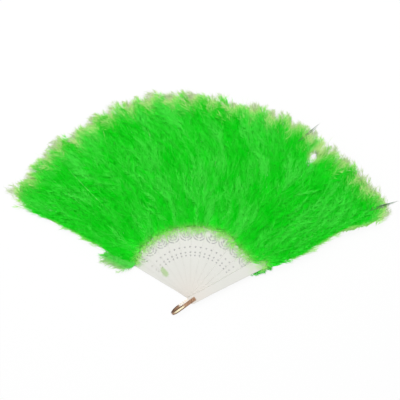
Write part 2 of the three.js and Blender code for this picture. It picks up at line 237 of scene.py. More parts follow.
# How white the floor looks, and how much of that is left where it is seen through the piercings, inside the
# sticks' outline and up to the down: there the lower white is painted shade, and the sticks' real shadow
# adds to it
FLOOR_WHITE = 0.88
PIERCED_WHITE = 0.38
PIERCED_SIDE = (-0.001, 0.005)
PIERCED_END = (0.105, 0.13)
BACKDROP = (0.92, 0.92, 0.92)
LAMP_PLACE = (-0.14, 0.48, 1.4)
LAMP_AIM = (0, 0.13, 0)
LAMP_SIZE = 0.7
CAMERA_PLACE = (0.0046, 0.1307)
SENSOR_WIDTH = 36.0
LENS = 35.8
NEAR_CLIP = 0.01


def stick_names():
    """The sticks from the rear guard at the bottom of the stack to the front guard at its top."""
    inner = sum(1 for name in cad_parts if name.startswith("stick_") and name.count("_") == 1)
    return ["rear_guard", *(f"stick_{number}" for number in range(1, inner + 1)), "front_guard"]


STICKS = stick_names()


# Settings that a user would change


def length(name, description, millimetres):
    return FloatProperty(
        name=name, description=description, default=millimetres * MM, min=0.0, unit="LENGTH", precision=5
    )


def colour(name, description, value):
    return FloatVectorProperty(
        name=name, description=description, default=value, min=0.0, max=1.0, size=3, subtype="COLOR"
    )


def turn(name, description, degrees):
    return FloatProperty(name=name, description=description, default=math.radians(degrees), subtype="ANGLE")


def amount(name, description, value):
    return FloatProperty(name=name, description=description, default=value)


def whole(name, description, value, least=0):
    return IntProperty(name=name, description=description, default=value, min=least)


class FAN_PG_sticks(bpy.types.PropertyGroup):
    """Plastic sticks and guards"""

    plastic: colour("Plastic", "Moulded sticks", (0.635, 0.635, 0.595))
    worn: colour("Worn", "Sticks near the rivet", (0.69, 0.63, 0.575))
    dye: colour("Dye", "Feather dye rubbed off on the sticks", (0.42, 0.66, 0.27))
    dye_start: length("Dye start", "Distance from the rivet where the rubbed dye begins", 70.0)
    dye_end: length("Dye end", "Distance from the rivet where the rubbed dye is full", 102.0)
    edge_round: length("Edge round", "Width of the rounded edges", 0.16)


class FAN_PG_brass(bpy.types.PropertyGroup):
    """Rivet and bail"""

    brass: colour("Brass", "Rivet and bail", (0.40, 0.24, 0.15))
    # The tarnish colour is also painted shade at the loop's rims
    tarnish_and_rim_shade: colour("Tarnish", "Dull patches and rims", (0.13, 0.065, 0.04))
    # Rubbed is a painted highlight along the middle of the loop
    rubbed: colour("Rubbed", "Metal where the loop is rubbed bright", (0.93, 0.84, 0.58))
    # Shine is a painted highlight on the bail's back leg
    painted_back_highlight: colour("Shine", "Bail's back leg, polished by the sticks", (0.98, 0.94, 0.87))
    bail_angle: turn("Bail angle", "Direction of the bail from the rivet", 218)
    edge_round: length("Edge round", "Width of the rounded edges", 0.22)


class FAN_PG_ribbon(bpy.types.PropertyGroup):
    """Ribbon that stops the sticks"""

    cloth: colour("Ribbon", "Cloth of the ribbon", (0.82, 0.83, 0.80))
    thickness: length("Thickness", "Thickness of the ribbon", 0.3)
    columns: whole("Columns", "Faces along one stretch of ribbon", 28, 4)


class FAN_PG_plumes(bpy.types.PropertyGroup):
    """Marabou plumes"""

    # Deep and bright green are the ends of each strand's tint: its own dye, with painted light that makes
    # the higher broad waves brighter
    deep: colour("Deep green", "Dye in the folds of the down", (0.0, 0.86, 0.006))
    bright: colour("Bright green", "Dye on the crown of the down", (0.085, 1.0, 0.08))
    pale: colour("Pale down", "Thin down at the edges", (0.71, 1.0, 0.36))
    tips: colour("Dull tips", "Bare ends of the barbs at the very edge", (0.62, 0.72, 0.50))
    shaft: colour("Bare shafts", "Single dark shafts that stand out past the edge", (0.05, 0.17, 0.05))
    quill: colour("Quill", "Stems of the plumes", (0.42, 0.92, 0.32))
    front_barbs: whole("Front barbs", "Barbs to a degree of a front plume", 14)
    back_barbs: whole("Back barbs", "Barbs to a degree of a back plume", 5)
    barbules: whole("Barbules", "Barbules on each barb", 44)
    barb_radius: length("Barb radius", "Radius of a barb at its root", 0.34)
    barb_length: length("Barb length", "Usual length of a barb", 36.0)
    barbule_length: length("Barbule length", "Usual length of a barbule", 11.0)
    clump_width: turn("Clump width", "Width of a clump at the plumes' outer edge", 1.7)
    spread: turn("Spread", "Usual angle between a barb and its barbules", 34)
    wave_length: length("Wave length", "Usual length of the broad waves in the down", 30.0)
    wave_width: length("Wave width", "Usual width of the broad waves in the down", 10.0)
    quill_radius: length("Quill radius", "Radius of a quill at its root", 0.5)
    lean: turn("Lean", "Usual lean of the down to the left of the radial line", 21)


class FAN_PG_stage(bpy.types.PropertyGroup):
    """Floor, lights and camera"""

    floor: colour("Floor", "Paper under the fan", (0.86, 0.86, 0.86))
    camera_height: length("Camera height", "Height of the camera above the floor", 540.0)
    camera_turn: turn("Camera turn", "Roll of the camera about the line of sight", 2.25)
    world_level: amount("World level", "Strength of the soft light all round", 0.5)
    lamp_power: amount("Lamp power", "Power of the large lamp, in watts", 17.0)


# Material nodes


def new_material(name):
    material = bpy.data.materials.new(name)
    material.use_nodes = True
    tree = material.node_tree
    return material, tree, tree.nodes["Principled BSDF"]


def feed(tree, node, inputs):
    """Fills a node's inputs, by name or number, with sockets and values. Colours come without alpha."""
    for key, value in inputs.items():
        socket = node.inputs[key]
        if isinstance(value, bpy.types.NodeSocket):
            tree.links.new(value, socket)
        elif socket.type == "RGBA":
            socket.default_value = (*value, 1.0)
        else:
            socket.default_value = value


def add_node(tree, kind, inputs=None, **settings):
    node = tree.nodes.new(kind)
    for key, value in settings.items():
        setattr(node, key, value)
    feed(tree, node, inputs or {})
    return node


def mix(tree, factor, first, second):
    inputs = {0: factor, 6: first, 7: second}
    return add_node(tree, "ShaderNodeMix", inputs, data_type="RGBA", clamp_result=True).outputs[2]


def remap(tree, value, from_low, from_high, to_low, to_high, kind="SMOOTHSTEP"):
    inputs = dict(enumerate((value, from_low, from_high, to_low, to_high)))
    return add_node(tree, "ShaderNodeMapRange", inputs, interpolation_type=kind).outputs["Result"]


def grows(tree, value, limits):
    """0 below the first limit and 1 above the second"""
    return remap(tree, value, *limits, 0.0, 1.0)


def fades(tree, value, limits):
    """1 below the first limit and 0 above the second"""
    return remap(tree, value, *limits, 1.0, 0.0)


def maths(tree, operation, *values, clamp=False):
    inputs = dict(enumerate(values))
    return add_node(tree, "ShaderNodeMath", inputs, operation=operation, use_clamp=clamp).outputs[0]


def multiply(tree, first, second):
    return maths(tree, "MULTIPLY", first, second, clamp=True)


def noise(tree, vector, scale):
    inputs = {"Vector": vector, "Scale": scale, "Detail": 3.0, "Roughness": 0.55}
    return add_node(tree, "ShaderNodeTexNoise", inputs).outputs["Fac"]


def clouds(tree, vector, scale, low, high, least, most):
    """Noise with its values between low and high spread from least to most"""
    return remap(tree, noise(tree, vector, scale), low, high, least, most)


def coordinates(tree, kind="Object"):
    return add_node(tree, "ShaderNodeTexCoord").outputs[kind]


def mapped(tree, location=(0, 0, 0), rotation=0.0, scale=(1, 1, 1)):
    """Object coordinates, centred, turned about Z and scaled by a Mapping node"""
    inputs = {
        "Vector": coordinates(tree),
        "Location": location,
        "Rotation": (0.0, 0.0, rotation),
        "Scale": scale,
    }
    return add_node(tree, "ShaderNodeMapping", inputs, vector_type="TEXTURE").outputs["Vector"]


def split(tree, vector):
    return add_node(tree, "ShaderNodeSeparateXYZ", {0: vector}).outputs


def distance(tree, vector):
    return add_node(tree, "ShaderNodeVectorMath", {0: vector}, operation="LENGTH").outputs["Value"]


def attribute(tree, name):
    return add_node(tree, "ShaderNodeAttribute", attribute_name=name).outputs["Fac"]


def bump(tree, shader, height, strength):
    inputs = {"Strength": strength, "Distance": BUMP_DEPTH, "Height": height}
    feed(tree, shader, {"Normal": add_node(tree, "ShaderNodeBump", inputs).outputs["Normal"]})


def plastic_material(look):
    """Moulded ivory plastic with flow marks, dye rubbed off near the feathers and one smear of it"""
    material, tree, shader = new_material("moulded_plastic")
    plain = mapped(tree)
    shade = mix(tree, clouds(tree, plain, 45.0, 0.3, 0.7, 0.0, 0.22), look.plastic, FLOW_MARKS)
    from_rivet = distance(tree, mapped(tree, scale=(1, 1, FLATTEN)))
    rubbed = remap(tree, from_rivet, look.dye_start, look.dye_end, 0.0, 0.55)
    patches = clouds(tree, plain, 130.0, 0.38, 0.68, 0.12, 1.0)
    dyed = mix(tree, multiply(tree, rubbed, patches), shade, look.dye)
    warmed = mix(tree, remap(tree, from_rivet, *WARM_ZONE, 0.6, 0.0), dyed, look.worn)
    from_smear = distance(tree, mapped(tree, SMEAR_PLACE, math.radians(SMEAR_TURN), SMEAR_SIZE))
    ragged = maths(tree, "MULTIPLY", from_smear, clouds(tree, plain, 190.0, 0.3, 0.7, 0.75, 1.25))
    smear = remap(tree, ragged, 0.55, 1.25, 0.75, 0.0)
    blotches = clouds(tree, plain, 260.0, 0.3, 0.6, 0.7, 1.0)
    finish = {
        "Base Color": mix(tree, multiply(tree, smear, blotches), warmed, SMEAR_GREEN),
        "Roughness": clouds(tree, plain, 400.0, 0.3, 0.7, 0.32, 0.46),
        "Specular IOR Level": 0.4,
    }
    feed(tree, shader, finish)
    bump(tree, shader, noise(tree, plain, 900.0), 0.25)
    return material


def brass_material(look):
    """Polished rose brass with dull patches. The loop has a painted highlight along its middle and painted
    shade at its rims, and the back leg has a painted highlight.
    """
    material, tree, shader = new_material("rose_brass")
    plain = mapped(tree)
    shade = mix(tree, clouds(tree, plain, 300.0, 0.42, 0.72, 0.0, 0.75), look.brass, look.tarnish_and_rim_shade)
    place = split(tree, mapped(tree, rotation=look.bail_angle))
    aside = maths(tree, "ABSOLUTE", place["Y"])
    loop = grows(tree, place["X"], LOOP_START)
    # Painted shade: the loop's rims are darkened to the tarnish colour
    rims = mix(tree, multiply(tree, loop, grows(tree, aside, PAINTED_RIM_SHADE)), shade, look.tarnish_and_rim_shade)
    middle = multiply(tree, loop, fades(tree, aside, PAINTED_HIGHLIGHT_WIDTH))
    highlight_before_bend = multiply(tree, middle, fades(tree, place["X"], LOOP_BEND))
    # Painted highlight along the middle of the front leg, up to the bend
    rubbed = multiply(tree, highlight_before_bend, grows(tree, place["Z"], FRONT_LEG_HEIGHT))
    bright = mix(tree, rubbed, rims, look.rubbed)
    # Painted highlight on the back leg near the rivet
    back_leg = fades(tree, place["Z"], BACK_LEG_HEIGHT)
    polished = multiply(tree, back_leg, fades(tree, place["X"], BACK_LEG_END))
    finish = {
        "Base Color": mix(tree, polished, bright, look.painted_back_highlight),
        "Roughness": clouds(tree, plain, 700.0, 0.3, 0.7, 0.2, 0.38),
        "Metallic": 1.0,
    }
    feed(tree, shader, finish)
    bump(tree, shader, noise(tree, plain, 1600.0), 0.2)
    return material


def ribbon_material(look):
    """Plain woven ribbon: threads across and along it"""
    material, tree, shader = new_material("woven_ribbon")
    threads = []
    for direction, number in THREADS:
        inputs = {"Vector": coordinates(tree, "UV"), "Scale": number / math.tau}
        threads.append(add_node(tree, "ShaderNodeTexWave", inputs, bands_direction=direction).outputs["Fac"])
    weave = multiply(tree, *threads)
    shade = mix(tree, weave, SHADED_WEAVE, look.cloth)
    feed(tree, shader, {"Base Color": shade, "Roughness": 0.6, "Sheen Weight": 0.3})
    bump(tree, shader, weave, 0.4)
    return material


def down_material(look):
    """Dyed marabou down: each lock takes the dye a little differently, the higher broad waves are painted
    brighter as painted light, and thin tips are pale
    """
    material, tree, shader = new_material("marabou_down")
    cloud = clouds(tree, mapped(tree), 70.0, 0.3, 0.7, 0.0, 1.0)
    tint = mix(tree, 0.2, attribute(tree, "tint"), cloud)
    dyed = mix(tree, tint, look.deep, look.bright)
    faded = mix(tree, attribute(tree, "pale"), dyed, look.pale)
    dulled = mix(tree, attribute(tree, "dull"), faded, look.tips)
    feed(tree, shader, {"Base Color": dulled, "Roughness": 0.85, "Specular IOR Level": 0.04})
    return material


def quill_material(look):
    """Quills: the same dye on a smoother, paler stem"""
    material, tree, shader = new_material("plume_quill")
    bands = clouds(tree, mapped(tree), 160.0, 0.35, 0.7, 0.0, 0.6)
    feed(tree, shader, {"Base Color": mix(tree, bands, look.quill, look.bright), "Roughness": 0.4})
    return material


def shaft_material(look):
    """Bare dark shafts"""
    material, tree, shader = new_material("bare_shaft")
    shade = mix(tree, noise(tree, mapped(tree), 200.0), look.shaft, LIGHT_SHAFT)
    feed(tree, shader, {"Base Color": shade, "Roughness": 0.5})
    return material


def plume_materials(look):
    """The down's, the quills' and the bare shafts' material, made for the first operator that asks"""
    makers = {"marabou_down": down_material, "plume_quill": quill_material, "bare_shaft": shaft_material}
    return [bpy.data.materials.get(key) or maker(look) for key, maker in makers.items()]


def under_sticks(tree):
    """1 where the floor is seen through the piercings and 0 elsewhere, past the sticks' outline"""
    here = coordinates(tree)
    place = split(tree, here)
    across = maths(tree, "MULTIPLY", maths(tree, "ABSOLUTE", place["X"]), -math.cos(OPEN_HALF))
    inside = maths(tree, "MULTIPLY_ADD", place["Y"], math.sin(OPEN_HALF), across)
    wedge = grows(tree, inside, PIERCED_SIDE)
    return multiply(tree, wedge, fades(tree, distance(tree, here), PIERCED_END))


def white_share(tree, share):
    """How much a surface looks plain white: to the camera and in reflections only"""
    rays = add_node(tree, "ShaderNodeLightPath").outputs
    seen = maths(tree, "MAXIMUM", rays["Is Camera Ray"], rays["Is Glossy Ray"])
    return multiply(tree, maths(tree, "MAXIMUM", seen, rays["Is Transmission Ray"]), share)


def show_mix(tree, factor, first, second, output):
    """Shows a mix of two shaders through the tree's output"""
    blend = add_node(tree, "ShaderNodeMixShader", {0: factor, 1: first.outputs[0], 2: second.outputs[0]})
    feed(tree, tree.nodes[output], {"Surface": blend.outputs[0]})


def floor_material(look):
    """Paper that looks white, and darker through the piercings, where a weaker glow paints shade and the
    sticks' real shadow shows
    """
    material, tree, shader = new_material("studio_paper")
    grain = clouds(tree, mapped(tree), 300.0, 0.3, 0.7, 0.0, 0.05)
    shade = mix(tree, grain, look.floor, PAPER_GRAIN)
    feed(tree, shader, {"Base Color": shade, "Roughness": 0.9, "Specular IOR Level": 0.1})
    # Painted shade: less glow inside the sticks' outline
    open_floor = remap(tree, under_sticks(tree), 0.0, 1.0, 1.0, PIERCED_WHITE, "LINEAR")
    factor = multiply(tree, white_share(tree, FLOOR_WHITE), open_floor)
    show_mix(tree, factor, shader, add_node(tree, "ShaderNodeEmission"), "Material Output")
    return material


def set_world(scene, look):
    """Even light from all round, behind a white backdrop"""
    scene.world = bpy.data.worlds.new("studio_light")
    scene.world.use_nodes = True
    tree = scene.world.node_tree
    light = tree.nodes["Background"]
    feed(tree, light, {"Color": (1.0, 1.0, 1.0), "Strength": look.world_level})
    backdrop = add_node(tree, "ShaderNodeBackground", {"Color": BACKDROP})
    show_mix(tree, white_share(tree, 1.0), light, backdrop, "World Output")


# Shapes of CAD nodes and their finish


def node_corners(name):
    return np.array([vertex.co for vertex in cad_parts[name].data.vertices])


def round_edges(piece, width, degrees):
    bevel = piece.modifiers.new("Bevel", "BEVEL")
    bevel.width = width
    bevel.segments = 2
    bevel.limit_method = "ANGLE"
    bevel.angle_limit = math.radians(degrees)
    return bevel


def dress_node(name, material, edge_round):
    """Gives a CAD node its finish, with welded corners and softly rounded edges"""
    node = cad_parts[name]
    node.data.materials.clear()
    node.data.materials.append(material)
    weld = node.modifiers.new("Weld", "WELD")
    weld.merge_threshold = WELD_DISTANCE
    round_edges(node, edge_round, STICK_EDGE)


def plume_place(name):
    """Where a plume's solid lies in the open fan, in metres and radians. Its strands are built up from its
    seat, which is 0 behind, since they are turned over later."""
    corners = node_corners(name)
    radius = np.hypot(corners[:, 0], corners[:, 1])
    angle = np.arctan2(corners[:, 1], corners[:, 0])
    run = radius > radius.min() + FOOT_LENGTH
    right, left = angle[run].min(), angle[run].max()
    low, high = corners[:, 2].min(), corners[:, 2].max()
    facing = BACK if name.endswith("back_plume") else FRONT
    return {
        "facing": facing,
        "start": radius.min(),
        "reach": radius.max(),
        "right": right,
        "left": left,
        "middle": (left + right) / 2,
        "half": (left - right) / 2,
        "base_left": angle.max(),
        "low": low,
        "high": high,
        "seat": low if facing == FRONT else 0.0,
        "crown": high - low,
    }


GUARD_LEFT = plume_place("rear_guard_front_plume")["left"]
GUARD_RIGHT = plume_place("front_guard_front_plume")["right"]


# Strands of down


def polar(radius, angle):
    """Points in plan at distances from the rivet and at angles in radians, +X first"""
    return np.stack([radius * np.cos(angle), radius * np.sin(angle)], axis=-1)


def to_polar(paths):
    """The distances and angles of points"""
    return np.hypot(paths[..., 0], paths[..., 1]), np.arctan2(paths[..., 1], paths[..., 0])


def strand_paths(root_radius, root_angle, lean, reach, low, high, curl, sway):
    """Ring centres of strands that leave their roots at a lean from the radial line and curl forward.
    All but curl are arrays with one value a strand."""
    count = len(root_radius)
    steps = np.diff(RING_PLACES)
    middles = (RING_PLACES[1:] + RING_PLACES[:-1]) / 2
    heading = lean[:, None] * (1 - curl * middles) + sway[:, None] * np.sin(math.tau * middles)
    zero = np.zeros((count, 1))
    outward = np.hstack([zero, np.cumsum(reach[:, None] * steps * np.cos(heading), axis=1)])
    sideways = np.hstack([zero, np.cumsum(reach[:, None] * steps * np.sin(heading), axis=1)])
    root = polar(root_radius, root_angle)[:, None, :]
    radial = polar(np.ones(count), root_angle)[:, None, :]
    across = polar(np.ones(count), root_angle + math.pi / 2)[:, None, :]
    plan = root + outward[..., None] * radial + sideways[..., None] * across
    rise = 1 - (1 - RING_PLACES) ** RISE_POWER
    height = low[:, None] + (high - low)[:, None] * rise
    return np.concatenate([plan, height[..., None]], axis=-1)


def turn_inside(paths, left, right):
    """Turns strands about the rivet until they lie between two angles, given once a strand"""
    angle = to_polar(paths)[1]
    excess = np.maximum(angle.max(axis=1) - left, 0) - np.maximum(right - angle.min(axis=1), 0)
    cosine, sine = np.cos(excess)[:, None], np.sin(excess)[:, None]
    x = paths[..., 0] * cosine + paths[..., 1] * sine
    y = paths[..., 1] * cosine - paths[..., 0] * sine
    return np.stack([x, y, paths[..., 2]], axis=-1)


def keep_in_reach(paths, far):
    """Bends what passes the plume's outer edge back towards it. far is one value or one a strand."""
    radius = to_polar(paths)[0]
    limit = np.broadcast_to(far, len(paths))[:, None]
    shrink = np.where(radius > limit, (limit + (radius - limit) * OVERSHOOT) / radius, 1.0)
    return np.concatenate([paths[..., :2] * shrink[..., None], paths[..., 2:]], axis=-1)


def strand_solids(paths, root_thickness, facing):
    """Closed three-sided tapered solids along the paths, with a flat side outwards: their corners, and the
    corner numbers of their faces"""
    count = len(paths)
    rings = paths.shape[1] - 1
    along = np.gradient(paths, axis=1)[:, :rings]
    along /= np.linalg.norm(along, axis=-1, keepdims=True) + 1e-12
    side = np.cross(np.array([0.0, 0.0, 1.0]), along)
    side /= np.linalg.norm(side, axis=-1, keepdims=True) + 1e-12
    upward = np.cross(along, side)
    turns = math.tau * np.arange(SIDES) / SIDES - facing * math.pi / 2
    spokes = (
        np.cos(turns)[None, None, :, None] * side[:, :, None, :]
        + np.sin(turns)[None, None, :, None] * upward[:, :, None, :]
    )
    thickness = root_thickness[:, None] * np.linspace(1.0, TIP_THICKNESS, rings)
    corners = paths[:, :rings, None, :] + spokes * thickness[:, :, None, None]
    corners = np.concatenate([corners.reshape(count, rings * SIDES, 3), paths[:, -1:, :]], axis=1)
    faces = [(0, 2, 1)]
    for ring in range(rings - 1):
        for k in range(SIDES):
            near, far = ring * SIDES + k, ring * SIDES + (k + 1) % SIDES
            faces += [(near, far, far + SIDES), (near, far + SIDES, near + SIDES)]
    last = (rings - 1) * SIDES
    faces += [(last + k, last + (k + 1) % SIDES, rings * SIDES) for k in range(SIDES)]
    numbers = np.array(faces)[None] + (np.arange(count) * corners.shape[1])[:, None, None]
    return corners.reshape(-1, 3), numbers.reshape(-1, 3)


def at_corners(ring_values):
    """Spreads one value a ring to the corners of a strand's rings and to its tip"""
    body = np.repeat(ring_values[:, :-1], SIDES, axis=1)
    return np.concatenate([body, ring_values[:, -1:]], axis=1).ravel()


def mesh_piece(name, corners, faces, attributes, slots, materials):
    """A mesh object of triangles, with one value a corner for each attribute and a material slot a face"""
    mesh = bpy.data.meshes.new(name)
    mesh.vertices.add(len(corners))
    mesh.vertices.foreach_set("co", corners.astype(np.float32).ravel())
    mesh.loops.add(faces.size)
    mesh.loops.foreach_set("vertex_index", faces.astype(np.int32).ravel())
    mesh.polygons.add(len(faces))
    mesh.polygons.foreach_set("loop_start", np.arange(0, faces.size, 3, dtype=np.int32))
    for material in materials:
        mesh.materials.append(material)
    mesh.polygons.foreach_set("material_index", slots.astype(np.int32))
    mesh.update(calc_edges=True)
    for key, values in attributes.items():
        layer = mesh.attributes.new(key, "FLOAT", "POINT")
        layer.data.foreach_set("value", values.astype(np.float32))
    piece = bpy.data.objects.new(name, mesh)
    bpy.context.scene.collection.objects.link(piece)
    return piece


def room_at(radius, place):
    """How high the down stands at a distance from the rivet"""
    (rise_run, rise_start), (fall_run, fall_end, fall_power) = CROWN_RISE, CROWN_FALL
    rise = np.clip((radius - place["start"]) / rise_run, 0, 1)
    fall = np.clip((place["reach"] - radius) / fall_run, 0, 1)
    share = (rise_start + (1 - rise_start) * rise) * (fall_end + (1 - fall_end) * fall**fall_power)
    return place["crown"] * share


def fan_sides(radius):
    """The two sides of the whole fan's down in radians. They swell and draw in along the guards."""
    left = GUARD_LEFT + np.radians(np.interp(radius, *LEFT_SWELL))
    return left, GUARD_RIGHT + np.radians(np.interp(radius, *RIGHT_SWELL))


def side_limits(rng, paths, ragged):
    """The fan's two sides at the strands, a little different for each of them"""
    left, right = fan_sides(to_polar(paths)[0].mean(axis=1))
    inset = np.radians(np.abs(rng.normal(0, ragged, (2, len(paths)))))
    return left - inset[0], right + inset[1]


def outer_edge(place, across, dip=0.0):
    """How far a plume reaches at places across it, from -1 to 1, less a clump's dip as a share"""
    return place["reach"] * (1 - EDGE_FALL * across**2 - dip) + EDGE_PAST


def soft_field(seed, along, across):
    """A smooth random value from 0 to 1 at places given in cells of a grid"""
    cells = np.random.default_rng(seed).random((FIELD_CELLS, FIELD_CELLS))
    column, row = np.floor(along).astype(int), np.floor(across).astype(int)
    ease = [part * part * (3 - 2 * part) for part in (along - column, across - row)]

    def along_row(which):
        first = cells[column % FIELD_CELLS, which % FIELD_CELLS]
        second = cells[(column + 1) % FIELD_CELLS, which % FIELD_CELLS]
        return first * (1 - ease[0]) + second * ease[0]

    return along_row(row) * (1 - ease[1]) + along_row(row + 1) * ease[1]


def waves(look, radius, angle):
    """Broad waves in the down: how much more the barbs lean there, and how brightly they are painted, a
    painted light that also lifts them
    """
    arc = angle * DOWN_MIDDLE
    along = radius * math.cos(look.lean) + arc * math.sin(look.lean)
    across = arc * math.cos(look.lean) - radius * math.sin(look.lean)
    bend = soft_field(BEND_SEED, radius / look.wave_length, arc / look.wave_length) - 0.5
    light = soft_field(LIGHT_SEED, along / look.wave_length, across / look.wave_width) - 0.5
    return 2 * bend, 2 * light


def usual_lean(look, radius, place):
    """The down stands nearly radial at the plumes' feet and sweeps to the left at their tips"""
    middle = math.degrees(place["middle"])
    return look.lean * np.interp(radius, *LEAN_ALONG) * np.interp(middle, *LEAN_ROUND)


def foot(place):
    """Where the down begins"""
    return place["start"] - np.interp(math.degrees(place["middle"]), *FOOT_ROUND)


def barb_lines(rng, place, count, look):
    """The middles of the barbs, how strongly each takes the dye with painted light from the broad waves
    added, and how far out each may go
    """
    across = rng.uniform(-BARBS["across"], BARBS["across"], count)
    clumps = max(3, round(2 * place["half"] / look.clump_width))
    clump_place = np.clip((across / (2 * BARBS["across"]) + 0.5) * clumps, 0, clumps - 0.001)
    own = clump_place.astype(int)
    rounding = CLUMP_ROUND * (2 * (clump_place - own) - 1) ** 2
    dip = CLUMP_DIP * rng.random(clumps) ** CLUMP_POWER
    far = outer_edge(place, across, dip[own]) - rounding
    tip_angle = place["middle"] + across * place["half"]
    for lobe, width, extra in LOBES:
        inside = np.exp(-(((np.degrees(tip_angle) - lobe) / width) ** 2))
        far += (extra + DOWN_EDGE * dip[own]) * inside
    first_tip = foot(place) + BARBS["first_tip"]
    at_edge = rng.random(count) < BARBS["at_edge"]
    near_edge = rng.uniform(*BARBS["near_edge"], count)
    share = np.where(at_edge, near_edge, rng.random(count) ** BARBS["power"])
    tip = first_tip + (far - first_tip) * share
    reach = look.barb_length * rng.uniform(*BARBS["reach"], count)
    bend, light = waves(look, tip, tip_angle)
    lean = usual_lean(look, tip - reach / 2, place)
    turned = rng.normal(0, BARBS["turn"], count) + BARBS["wave_turn"] * bend + BARBS["side_turn"] * across
    lean += np.radians(turned + rng.normal(0, BARBS["plume_turn"]))
    radius = np.maximum(tip - reach * np.cos(lean), foot(place) + BARBS["root_depth"] * rng.random(count))
    angle = tip_angle - 0.5 * reach * np.sin(lean) / tip
    (low_start, low_range), (high_start, high_range) = BARBS["low"], BARBS["high"]
    level = np.clip(rng.uniform(*high_range, count) + BARBS["wave_rise"] * light, *BARBS["rise_limits"])
    room = room_at(tip, place)
    low = place["seat"] + low_start + room * rng.uniform(*low_range, count)
    high = place["seat"] + high_start + room * level
    sway = np.radians(rng.normal(0, BARBS["sway"], count))
    lines = strand_paths(radius, angle, lean, reach, low, high, BARBS["curl"], sway)
    lines = keep_in_reach(turn_inside(lines, *side_limits(rng, lines, BARBS["ragged"])), far)
    # Painted light: the broad waves brighten the dye where they also lift the barbs
    dye, own_dye = BARBS["dye"]
    varied = rng.normal(rng.normal(0, BARBS["plume_dye"]), own_dye, count)
    return lines, np.clip(dye + BARBS["wave_light"] * light + varied, 0, 1), far


def barbules(rng, lines, tint, edge, look, reach):
    """Short strands that leave both sides of each line and bend forward along it, up to its edge"""
    own = np.repeat(np.arange(len(lines)), look.barbules)
    count = len(own)
    along = rng.uniform(*BARBULES["along"], count)
    part = np.clip(np.searchsorted(RING_PLACES, along, side="right") - 1, 0, len(RING_PLACES) - 2)
    share_of_part = (along - RING_PLACES[part]) / (RING_PLACES[part + 1] - RING_PLACES[part])
    near, far = lines[own, part], lines[own, part + 1]
    root = near + (far - near) * share_of_part[:, None]
    heading = np.arctan2(far[:, 1] - near[:, 1], far[:, 0] - near[:, 0])
    side = np.where(np.arange(count) % 2, 1.0, -1.0)
    narrower, shorter = (1 - BARBULES[key] * along for key in ("spread_loss", "step_loss"))
    opening = side * look.spread * narrower * rng.uniform(*BARBULES["spread"], count)
    step = reach * shorter * rng.uniform(*BARBULES["step"], count)
    bend = root[:, :2] + polar(step, heading + opening)
    tip = bend + polar(step, heading + opening * BARBULES["bend"])
    rise = rng.normal(*BARBULES["rise"], (count, 2))
    heights = root[:, 2:] + np.cumsum(rise, axis=1)
    plan = np.stack([root[:, :2], bend, tip], axis=1)
    heights = np.concatenate([root[:, 2:], heights], axis=1)[..., None]
    values = np.clip(tint[own] + rng.normal(0, BARBULES["dye"], count), 0, 1)
    return keep_in_reach(np.concatenate([plan, heights], axis=-1), edge[own]), values


def loose_strands(rng, place, count, look, kind):
    """Strands of one kind with roots all over the sector, and how strongly each takes the dye"""
    at_foot = rng.random(count) < kind["at_foot"] if kind["at_foot"] else np.zeros(count, dtype=bool)
    near = foot(place) if kind["at_foot"] else place["start"] + STRAY_START
    reach = look.barb_length * rng.uniform(*kind["reach"], count) * np.where(at_foot, FOOT_REACH, 1.0)
    further = rng.random(count) ** kind["power"] * (place["reach"] - kind["end"] - near)
    radius = near + further * np.where(at_foot, FOOT_PLACE, 1.0)
    angle = place["middle"] + rng.uniform(-kind["across"], kind["across"], count) * place["half"]
    turned = rng.normal(0, kind["turn"], count) * np.where(at_foot, FOOT_TURN, 1.0)
    lean = usual_lean(look, radius + kind["ahead"] * reach, place) + np.radians(turned)
    room = room_at(radius + reach, place)
    heights = []
    for start, shares in (kind["low"], kind["high"]):
        heights.append(place["seat"] + start + room * rng.uniform(*shares, count))
    sway = np.radians(rng.normal(0, kind["sway"], count))
    paths = strand_paths(radius, angle, lean, reach, *heights, kind["curl"], sway)
    left, right = side_limits(rng, paths, kind["ragged"])
    paths = turn_inside(paths, left + kind["past_side"], right - kind["past_side"])
    paths = keep_in_reach(paths, place["reach"] + kind["past_edge"])
    return paths, np.clip(rng.normal(*kind["dye"], count), 0, 1)


def fluff_strands(rng, place, count):
    """The fluff's strands and their dye"""
    tufts = rng.integers(0, FLUFF["tufts"], count)
    tuft_across = rng.uniform(-1.0, 1.0, FLUFF["tufts"])
    tuft_reach = rng.uniform(*FLUFF["tuft_reach"], FLUFF["tufts"])
    reach = tuft_reach[tufts] * rng.uniform(*FLUFF["reach"], count)
    radius = foot(place) + rng.uniform(*FLUFF["start"], count)
    angle = place["middle"] + tuft_across[tufts] * place["half"] + rng.normal(0, FLUFF["spread"], count)
    lean = np.radians(rng.normal(*FLUFF["lean"], count))
    low, high = (place["seat"] + rng.uniform(*FLUFF[key], count) for key in ("low", "high"))
    sway = np.radians(rng.normal(0, FLUFF["sway"], count))
    paths = strand_paths(radius, angle, lean, reach, low, high, FLUFF["curl"], sway)
    return turn_inside(paths, *side_limits(rng, paths, FLUFF["ragged"])), np.full(count, FLUFF["dye"])


def side_tuft(place, seed, count, edge, past, begin, outward, reach, heights):
    """Lines at the foot of a guard's plume that stand out sideways past it"""
    rng = np.random.default_rng(seed)
    radius = rng.uniform(*begin, count)
    angle = place[edge] + past - outward * rng.uniform(0.0, TUFT["inset"], count)
    lean = outward * np.radians(rng.normal(*TUFT["lean"], count))
    reaches = reach * rng.uniform(*TUFT["reach"], count)
    low, high = rng.uniform(*(place["seat"] + height for height in heights), (2, count))
    sway = np.radians(rng.normal(0, TUFT["sway"], count))
    tuft = strand_paths(radius, angle, lean, reaches, low, high, TUFT["curl"], sway)
    return turn_inside(tuft, place["base_left"] + TUFT["past_foot"], 0.0)


